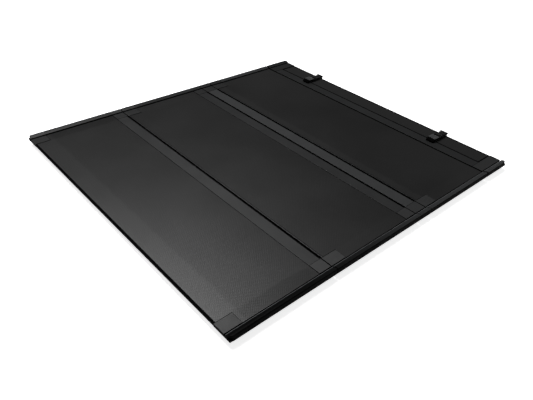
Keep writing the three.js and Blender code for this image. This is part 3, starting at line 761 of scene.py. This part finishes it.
STRAP_THICK = 1.6 * MM
STRAP_HALF = 18.5 * MM  # half of the webbing's width
STITCH_START = 798.5 * MM
STITCH_Z = 55.15 * MM
STITCH_ROWS = 3
NOSE_WIDENING = 1.22
NOSE_LENGTH = 16 * MM  # how far a socket's sides carry black painted shade

# Places along the straps, as (Y, Z) in mm.
SLIDE_LOW_BAR = (831.7, 45.1)
SLIDE_TOP_BAR = (846.7, 54.5)
UNDER_HEADER = 14.9  # the height at which the fixed web starts
FRONT_TOP = 55.0  # the height at which it leaves the header's front face
ROUND_TOP_BAR = ((846.7, 57.2), (844.4, 54.8), (847.2, 48.5), (847.3, 42.6))
ROUND_FORK = ((804, 43.9), (794.1, 43.9), (794.1, 54.3), (811.8, 54.3), (811.8, 44.4))
ROUND_SLIDE = ((819, 44.0), (829.5, 48.2), (834.5, 47.6), (839.5, 46.6), (843.0, 49.6))
BACK_OVER = ((839.5, 53.2), (830, 52.9), (819, 51.6))


def ribbon(points, radius, middle):
    """A flat strap along points of (Y, Z) in mm, at X = middle."""
    path = rounded([Vector((middle, y * MM, z * MM)) for y, z in points], radius, 5)
    half = STRAP_THICK / 2
    edge = STRAP_HALF - half
    arc = [math.radians(a) for a in (-60, -20, 20, 60)]
    right = [(half * math.sin(a), edge + half * math.cos(a)) for a in arc]
    left = [(-side, -up) for side, up in right]
    return swept([*right, *left], path, (1, 0, 0))


def strap_slide(middle):
    """A ladder-lock: two cheeks and three bars, tilted up towards the cab."""
    (y0, z0), (y1, z1) = SLIDE_LOW_BAR, SLIDE_TOP_BAR
    tilt = math.atan2(z1 - z0, y1 - y0)
    long = math.hypot(z1 - z0, y1 - y0) * MM / 2
    centre = Vector((middle, (y0 + y1) / 2 * MM, (z0 + z1) / 2 * MM))
    place = Matrix.Translation(centre) @ Matrix.Rotation(tilt, 4, "X")
    thick = 2.0 * MM
    reach = 22.5 * MM
    cheek = STRAP_HALF + 0.6 * MM
    bar_half = 1.5 * MM
    bar_thin = 1.4 * MM
    blocks = [
        ((-reach, -long - thick, -thick), (-cheek, long + thick, thick)),
        ((cheek, -long - thick, -thick), (reach, long + thick, thick)),
    ]
    for along in (-long, 0, long):
        low = (-reach + thick, along - bar_half, -bar_thin)
        high = (reach - thick, along + bar_half, bar_thin)
        blocks.append((low, high))
    meshes = []
    for low, high in blocks:
        mesh = box_mesh(low, high)
        mesh.transform(place)
        meshes.append(mesh)
    return meshes


def stitches(middle):
    """Rows of short thread stitches across the strap, in a zigzag."""
    count = 14
    margin = 2 * MM
    step = 2 * (STRAP_HALF - margin) / count
    row_gap = 4 * MM
    zigzag = 0.9 * MM
    thick = 0.32 * MM
    rise = Vector((0, 0, 0.25 * MM))
    meshes = []
    for row in range(STITCH_ROWS):
        y = STITCH_START + row * row_gap
        for i in range(count):
            x = middle - STRAP_HALF + margin + i * step
            lean = zigzag if (i + row) % 2 else -zigzag
            start = Vector((x, y - lean, STITCH_Z))
            end = Vector((x + step, y + lean, STITCH_Z))
            over = [start.lerp(end, 0.3) + rise, start.lerp(end, 0.7) + rise]
            meshes.append(tube([start - rise, *over, end - rise], thick, 6))
    return meshes


def strap_webs(low, high, middle):
    """The web fixed under the header, and the one that loops through the fork and the slide."""
    front = (high.y - STRAP_THICK / 2) / MM
    fixed = [(low.y / MM, UNDER_HEADER), (front, UNDER_HEADER), (front, FRONT_TOP)]
    return [
        ribbon([*fixed, *ROUND_TOP_BAR], 1.5 * MM, middle),
        ribbon([*ROUND_FORK, *ROUND_SLIDE, *BACK_OVER], 1.6 * MM, middle),
    ]


def make_straps():
    for hand in HANDS:
        strap = f"stow_strap_{hand}"
        low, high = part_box(strap)
        middle = (low.x + high.x) / 2
        web = gathered(f"{strap}_web", strap_webs(low, high, middle), STRAP)
        web.data.shade_smooth()
        stands_for(web, strap)
        slide = gathered(f"strap_slide_{hand}", strap_slide(middle), BUCKLE_DARK_AND_SHADE)
        rides_with(softened(slide, 0.5 * MM), f"buckle_fork_{hand}")
        sewing = gathered(f"strap_stitching_{hand}", stitches(middle), THREAD)
        sewing.data.shade_smooth()
        rides_with(sewing, strap)
        places = [(middle + dx, low.y + 5 * MM) for dx in (-10 * MM, 10 * MM)]
        make_screws(f"stow_strap_screws_{hand}", strap, places, low.z, 3.4 * MM)


def make_socket(node):
    """The buckle's female half, with a squarer nose. Its sides carry near-black painted shade and
    its nose black painted shade, so its flat top reads paler than them."""
    low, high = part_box(node)
    middle = (low.x + high.x) / 2
    mesh = copied(node)
    for vertex in mesh.vertices:
        if vertex.co.y < low.y + 1 * MM:
            vertex.co.x = middle + NOSE_WIDENING * (vertex.co.x - middle)
    body = link(node + "_body", flat_faced(mesh), BUCKLE, BUCKLE_DARK_AND_SHADE, SIDE_BLACK_AND_SHADE)
    body = softened(body, 1.1 * MM, segments=3, angle=20)
    dark, nose = 1, 2
    for face in body.data.polygons:
        # painted shade: the socket's sides near black, its nose black
        if face.normal.z < FLAT:
            on_nose = face.center.y < low.y + NOSE_LENGTH
            face.material_index = nose if on_nose else dark
    stands_for(body, node)


def make_ribs(name, node, boxes, material, rounding):
    """Ribs raised on a part, given as the corners of boxes, all in one piece."""
    ribs = gathered(name, [box_mesh(low, high) for low, high in boxes], material)
    rides_with(softened(ribs, rounding), node)


def grip_ribs(socket):
    """Ribs on top of a buckle's socket, in two rows with its middle left smooth."""
    low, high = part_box(socket)
    middle = (low.x + high.x) / 2
    bottom, top = high.z - 1 * MM, high.z + 0.5 * MM
    inner, outer = 6 * MM, 17 * MM
    first, pitch, wide = 20 * MM, 3.4 * MM, 1.6 * MM
    boxes = []
    for i in range(4):
        y = low.y + first + pitch * i
        for side in HANDS.values():
            x0, x1 = sorted((middle + side * inner, middle + side * outer))
            boxes.append(((x0, y, bottom), (x1, y + wide, top)))
    return boxes


def make_buckles():
    for hand in HANDS:
        socket = f"buckle_socket_{hand}"
        make_socket(socket)
        refined(f"buckle_fork_{hand}", BUCKLE_DARK_AND_SHADE, 0.8 * MM, angle=20)
        make_ribs(f"buckle_grip_{hand}", socket, grip_ribs(socket), BUCKLE, 0.3 * MM)


# ---------------------------------------------------------------- hardware underneath

PIVOT_Y = 660 * MM  # the pin that the clamp arms swing on
CLAMP_Z = 13 * MM  # the height of the clamps' pins and screws
EAR_X = 15 * MM  # from the middle of a clamp to the outer face of its bracket's ears
JAW_RUBBER = 584.2 * MM  # where the rubber on the clamps' jaws begins in Y
CAP_POCKET = 30 * MM  # the ceiling of the hollow in each end cap
CAP_SCREW_X = 722 * MM  # the line of screws in the end caps
PLATE_BOTTOM = 12.7 * MM  # the lower face of the clamp brackets' plates


def pan_head(radius, height):
    """The profile of a domed screw head as (radius, height) points, with a recess in its face."""
    dome = [
        (radius * math.cos(a), height * (0.35 + 0.65 * math.sin(a)))
        for a in (math.radians(d) for d in (0, 20, 40, 58))
    ]
    recess = [(radius * 0.34, height), (radius * 0.3, height * 0.4), (0, height * 0.35)]
    return [(0, -0.3 * MM), (radius, -0.3 * MM), *dome, *recess]


def hex_head(across, height):
    """A hexagon nut or bolt head along +X from the origin, with its corners turned off."""
    radius = across / math.sqrt(3)
    y_axis, z_axis = Vector((0, 1, 0)), Vector((0, 0, 1))
    rings = []
    for x, scale in ((0, 1), (height * 0.8, 1), (height, 0.86)):
        rings.append(ring_of(Vector((x, 0, 0)), y_axis, z_axis, radius * scale, 6))
    return mesh_from(rings)


def make_screws(name, node, places, z, radius):
    """Zinc screw heads under a face, all in one piece, at (x, y) places."""
    profile = pan_head(radius, radius * 0.42)
    heads = [turned(profile, Vector((x, y, z)), (0, 0, -1), 20) for x, y in places]
    screws = gathered(name, heads, ZINC)
    screws.data.shade_smooth()
    screws.data.set_sharp_from_angle(angle=math.radians(40))
    rides_with(screws, node)


def make_cap_screws():
    for hand, side in HANDS.items():
        for cap in CAPS:
            node = f"{cap}_cap_{hand}"
            low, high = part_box(node)
            middle = (low.y + high.y) / 2
            spots = [middle - 16 * MM, middle + 16 * MM]
            if cap == "header":
                spots = [low.y + 14 * MM, middle, high.y - 40 * MM]
            elif cap == "link":
                spots = [middle]
            places = [(side * CAP_SCREW_X, y) for y in spots]
            make_screws(f"{cap}_cap_screws_{hand}", node, places, CAP_POCKET, 3.4 * MM)


def threaded(radius, depth, pitch, start, end):
    """A screw thread along +Y from start to end, about the Y axis."""
    sides = 20
    per_turn = 8
    rings = []
    count = int((end - start) / pitch * per_turn)
    for i in range(count + 1):
        y = start + (end - start) * i / count
        ring = []
        for k in range(sides):
            angle = 2 * math.pi * k / sides
            phase = (y / pitch - k / sides) % 1.0
            r = radius - depth * abs(2 * phase - 1)
            ring.append(Vector((r * math.cos(angle), y, r * math.sin(angle))))
        rings.append(ring)
    return mesh_from(rings)


def fluted_knob(start, end, radius):
    """A hand knob along the Y axis: six finger hollows, a waist and rounded ends."""
    sides = 72
    flutes = 6
    flute_depth = 0.125  # as a share of the radius
    long = end - start
    stations = [(0, 0.80), (0.02, 0.90), (0.07, 0.975), (0.14, 1.0), (0.5, 0.985), (0.86, 1.0)]
    stations += [(0.93, 0.975), (0.98, 0.90), (1.0, 0.80)]
    rings = []
    for along, scale in stations:
        ring = []
        for k in range(sides):
            angle = 2 * math.pi * k / sides
            hollow = 0.5 * (1 - math.cos(flutes * angle))
            r = scale * radius * (1 - flute_depth * hollow ** 1.4)
            ring.append(Vector((r * math.cos(angle), start + long * along, r * math.sin(angle))))
        rings.append(ring)
    return mesh_from(rings)


def make_pivot_bolt(hand, x):
    """The hexagon heads at both ends of the pin that a clamp's arm swings on."""
    heads = []
    for side in HANDS.values():
        head = hex_head(8 * MM, 4 * MM)
        mirror = Matrix.Diagonal((side, 1, 1, 1))
        head.transform(Matrix.Translation((x + side * EAR_X, PIVOT_Y, CLAMP_Z)) @ mirror)
        heads.append(head)
    bolt = gathered(f"clamp_pivot_bolt_{hand}", heads, ZINC)
    turned_outward(bolt.data)
    rides_with(softened(bolt, 0.3 * MM), f"clamp_bracket_{hand}")


def make_clamp_screw(hand, x):
    """The clamp's screw with a real thread, and its hand knob."""
    node = f"clamp_screw_{hand}"
    low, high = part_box(node)
    knob_end = low.y + 22 * MM
    knob = fluted_knob(low.y, knob_end, (high.z - low.z) / 2)
    radius, depth, pitch = 4 * MM, 0.5 * MM, 4 * MM
    rod = threaded(radius, depth, pitch, knob_end - 4 * MM, high.y)
    screw = gathered(f"{node}_thread", [rod], ZINC)
    grip = gathered(f"{node}_knob", [knob], KNOB)
    for piece in (screw, grip):
        piece.data.transform(Matrix.Translation((x, 0, CLAMP_Z)))
        piece.data.shade_smooth()
    grip.data.set_sharp_from_angle(angle=math.radians(50))
    stands_for(grip, node)
    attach(screw, NODES[node]["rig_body"])


def make_jaw(hand):
    """The clamp's jaw, with rubber on the end that grips."""
    jaw = refined(f"clamp_jaw_{hand}", ZINC, 0.6 * MM)
    jaw.data.materials.append(RUBBER)
    for face in jaw.data.polygons:
        if face.center.y > JAW_RUBBER:
            face.material_index = 1


def make_clamps():
    for hand in HANDS:
        bracket = f"clamp_bracket_{hand}"
        refined(bracket, ZINC, 0.5 * MM)
        refined(f"clamp_arm_{hand}", ZINC, 0.6 * MM)
        low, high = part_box(f"clamp_arm_{hand}")
        x = (low.x + high.x) / 2
        make_pivot_bolt(hand, x)
        plate_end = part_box(bracket)[1].y
        places = [(x + dx * MM, plate_end - dy * MM) for dx in (-16, 16) for dy in (8, 34)]
        make_screws(f"clamp_bracket_screws_{hand}", bracket, places, PLATE_BOTTOM, 3.6 * MM)
        make_clamp_screw(hand, x)
        make_jaw(hand)


def housing_ribs(low, high, side):
    """Ribs across the underside of a latch's housing."""
    first, pitch = 648 * MM, 11 * MM
    half = 1 * MM
    margin = 4 * MM
    boxes = []
    for i in range(5):
        x = side * (first + pitch * i)
        near = (x - half, low.y + margin, low.z - 0.8 * MM)
        far = (x + half, high.y - margin, low.z + 1 * MM)
        boxes.append((near, far))
    return boxes


def make_latches():
    for hand, side in HANDS.items():
        housing = f"latch_housing_{hand}"
        refined(housing, KNOB, 1.0 * MM)
        refined(f"latch_bolt_{hand}", ZINC, 0.8 * MM)
        low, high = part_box(housing)
        middle = (low.y + high.y) / 2
        inner = high.x if side < 0 else low.x
        places = [(inner + side * 6 * MM, middle + dy) for dy in (-8 * MM, 8 * MM)]
        make_screws(f"latch_housing_screws_{hand}", housing, places, high.z - 3 * MM, 2.8 * MM)
        ribs = housing_ribs(low, high, side)
        make_ribs(f"latch_housing_ribs_{hand}", housing, ribs, KNOB, 0.4 * MM)
        make_spring(hand, side)


def make_spring(hand, side):
    """A coil spring of round wire, in the latch spring's place."""
    node = f"latch_spring_{hand}"
    low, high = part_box(node)
    wire = 0.8 * MM
    radius = (high.z - low.z) / 2 - wire
    inner, outer = (low.x, high.x) if side > 0 else (high.x, low.x)
    start, end = inner + side * wire, outer - side * wire
    y, z = (low.y + high.y) / 2, (low.z + high.z) / 2
    turns = 5
    steps = turns * 24
    points = []
    for i in range(steps + 1):
        angle = 2 * math.pi * turns * i / steps
        x = start + (end - start) * i / steps
        points.append(Vector((x, y + radius * math.cos(angle), z + radius * math.sin(angle))))
    coil = link(node + "_coil", tube(points, wire, 10), ZINC)
    coil.data.shade_smooth()
    stands_for(coil, node)
    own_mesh(coil)


def handle_ribs():
    """Ribs under the pull handle's two ends, with its middle left smooth."""
    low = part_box("pull_handle")[0]
    pitch = 7.5 * MM
    half = 1 * MM
    boxes = []
    for i in (-4, -3, 3, 4):
        x = i * pitch
        near = (x - half, low.y + 1.5 * MM, low.z - 0.6 * MM)
        far = (x + half, low.y + 9.5 * MM, low.z + 1 * MM)
        boxes.append((near, far))
    return boxes


def make_release():
    refined("release_cable", KNOB, 0.5 * MM, angle=50)
    refined("pull_handle", KNOB, 1.2 * MM, segments=3)
    make_ribs("pull_handle_grip", "pull_handle", handle_ribs(), KNOB, 0.4 * MM)


# ---------------------------------------------------------------- stage, light and camera

FLOOR_SIZE = 80
FLOOR_GLOW = 0.80
WORLD_GLOW = 0.05

# The camera's place in degrees and metres: azimuth from -Y towards +X, and the lens in mm.
CAMERA_AZIMUTH = 46.698
CAMERA_ELEVATION = 36.007
CAMERA_ROLL = 3.3236
CAMERA_DISTANCE = 2.2270
CAMERA_TARGET = Vector((0.3035, -0.2766, DECK))
CAMERA_LENS = 35.747


def make_floor():
    """A wide white floor that glows like a lit paper sweep."""
    half = FLOOR_SIZE / 2
    mesh = bpy.data.meshes.new("floor")
    corners = [(-half, -half, 0), (half, -half, 0), (half, half, 0), (-half, half, 0)]
    mesh.from_pydata(corners, [], [(0, 1, 2, 3)])
    paint = Paint("floor", (0.93, 0.93, 0.93), 0.9, specular=0.1)
    paint.shader.inputs["Emission Color"].default_value = (1, 1, 1, 1)
    paint.shader.inputs["Emission Strength"].default_value = FLOOR_GLOW
    link("floor", mesh, paint.material)


def make_light(name, place, target, size, power):
    """A rectangular lamp at a place, aimed at a target."""
    light = bpy.data.lights.new(name, "AREA")
    light.shape = "RECTANGLE"
    light.size, light.size_y = size
    light.energy = power
    lamp = bpy.data.objects.new(name, light)
    bpy.context.scene.collection.objects.link(lamp)
    lamp.location = place
    aim = Vector(target) - Vector(place)
    lamp.rotation_euler = aim.to_track_quat("-Z", "Y").to_euler()


def make_world():
    world = bpy.data.worlds.new("studio")
    bpy.context.scene.world = world
    world.use_nodes = True
    background = world.node_tree.nodes["Background"]
    background.inputs["Color"].default_value = (1, 1, 1, 1)
    background.inputs["Strength"].default_value = WORLD_GLOW


def make_camera():
    azimuth, elevation = math.radians(CAMERA_AZIMUTH), math.radians(CAMERA_ELEVATION)
    level = math.cos(elevation)
    back = Vector((math.sin(azimuth) * level, -math.cos(azimuth) * level, math.sin(elevation)))
    flat_right = Vector((0, 0, 1)).cross(back).normalized()
    right = Matrix.Rotation(math.radians(CAMERA_ROLL), 3, back) @ flat_right
    up = back.cross(right)
    turn = Matrix((right, up, back)).transposed().to_4x4()
    data = bpy.data.cameras.new("camera")
    data.lens = CAMERA_LENS
    camera = bpy.data.objects.new("camera", data)
    bpy.context.scene.collection.objects.link(camera)
    camera.matrix_world = Matrix.Translation(CAMERA_TARGET + back * CAMERA_DISTANCE) @ turn
    bpy.context.scene.camera = camera


def make_stage():
    make_floor()
    make_light("softbox", (-0.9, -0.4, 3.3), (0.3, -0.6, 0), (1.8, 2.2), 140)
    make_light("side_strip", (1.6, 4.6, 3.0), (0.8, 0.4, 0), (1.6, 1.6), 20)
    make_world()
    bpy.context.scene.view_settings.view_transform = "Standard"


make_boards()
make_frame()
make_seals()
make_hinges()
make_straps()
make_buckles()
make_cap_screws()
make_clamps()
make_latches()
make_release()
make_stage()
make_camera()
